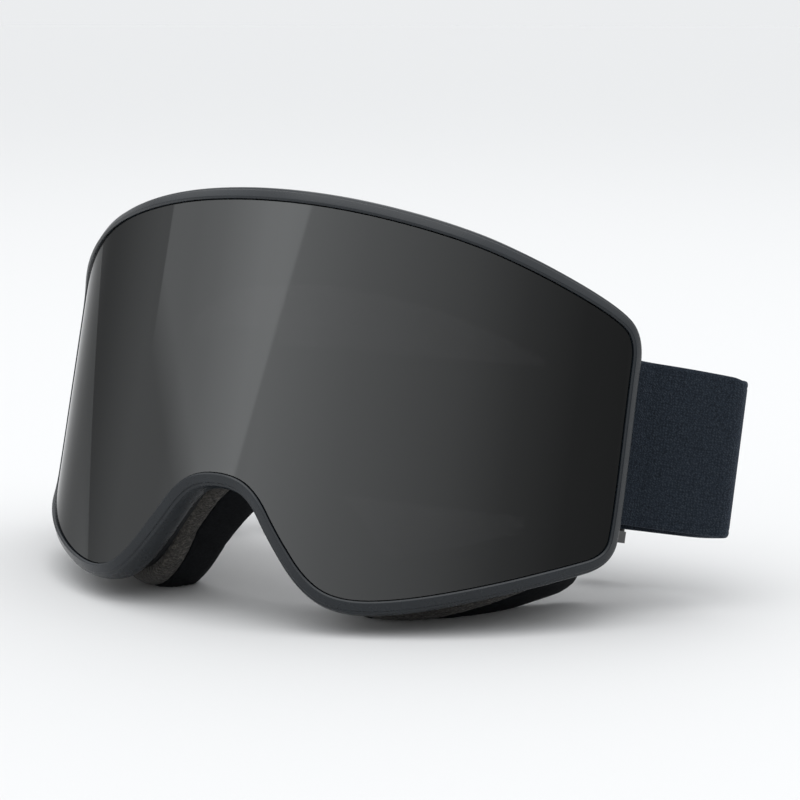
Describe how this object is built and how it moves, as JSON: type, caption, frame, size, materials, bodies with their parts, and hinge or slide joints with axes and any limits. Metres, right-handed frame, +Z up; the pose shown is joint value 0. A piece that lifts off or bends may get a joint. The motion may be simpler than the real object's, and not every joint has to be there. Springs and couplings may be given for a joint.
{
  "type": "ski goggles",
  "caption": "Cylindrical-lens ski goggles: a wide tinted double lens in a soft frame, three-layer face foam and a broad elastic strap on pivoting clips.",
  "frame": {"origin": "centre of the bounding box's footprint, on the table that the goggles stand on", "axes": "+X towards the wearer's left, +Y from the lens towards the face and strap, +Z up"},
  "size_m": [0.2024, 0.1052, 0.1042],
  "materials": {
    "rim_tpu": "satin, moulded thermoplastic polyurethane",
    "frame_tpu": "matt, moulded thermoplastic polyurethane",
    "hard_plastic": "fine-textured nylon",
    "magnet": "nickel plated",
    "screw_steel": "blackened steel",
    "foam_sponge": "open-cell sponge",
    "foam_face": "dense closed-cell foam",
    "fleece": "brushed fleece",
    "vent_mesh": "open-cell filter foam",
    "gasket_foam": "closed-cell gasket",
    "webbing": "woven elastic webbing",
    "silicone": "printed silicone",
    "lens_tint": "grey mirror tint, glossy",
    "lens_clear": "clear, glossy"
  },
  "bodies": {
    "frame": {"frame_rim": "rim_tpu", "frame_chassis": "frame_tpu", "frame_magnets": "magnet", "vent_mesh_top": "vent_mesh", "vent_mesh_left": "vent_mesh", "vent_mesh_right": "vent_mesh", "foam_sponge": "foam_sponge", "foam_face": "foam_face", "face_fleece": "fleece", "outrigger_left": "hard_plastic", "outrigger_right": "hard_plastic", "outrigger_screws": "screw_steel", "pivot_pin_left": "screw_steel", "pivot_pin_right": "screw_steel", "strap_band": "webbing", "strap_tail_left": "webbing", "strap_tail_right": "webbing", "strap_grips": "silicone"},
    "lens": {"lens_outer": "lens_tint", "lens_inner": "lens_clear", "lens_gasket": "gasket_foam", "lens_carrier": "hard_plastic", "lens_magnets": "magnet"},
    "clip_left": {"strap_clip_left": "hard_plastic", "strap_loop_left": "webbing"},
    "clip_right": {"strap_clip_right": "hard_plastic", "strap_loop_right": "webbing"},
    "adjuster_left": {"adjuster_left": "hard_plastic", "tail_end_left": "webbing"},
    "adjuster_right": {"adjuster_right": "hard_plastic", "tail_end_right": "webbing"}
  },
  "joints": [
    {"name": "lens_release", "type": "slide", "parent": "frame", "child": "lens", "axis": [0, -0.9659, 0.2588], "range_m": [0, 0.06]},
    {"name": "clip_left_pivot", "type": "hinge", "parent": "frame", "child": "clip_left", "pos_m": [0.0736, 0.01543, 0.04101], "axis": [0, 0.2588, 0.9659], "range_deg": [-3, 15]},
    {"name": "clip_right_pivot", "type": "hinge", "parent": "frame", "child": "clip_right", "pos_m": [-0.0736, 0.01543, 0.04101], "axis": [0, -0.2588, -0.9659], "range_deg": [-3, 15]},
    {"name": "adjuster_left_slide", "type": "slide", "parent": "frame", "child": "adjuster_left", "axis": [-1, 0, 0], "range_m": [-0.006, 0.022]},
    {"name": "adjuster_right_slide", "type": "slide", "parent": "frame", "child": "adjuster_right", "axis": [1, 0, 0], "range_m": [-0.006, 0.022]}
  ]
}
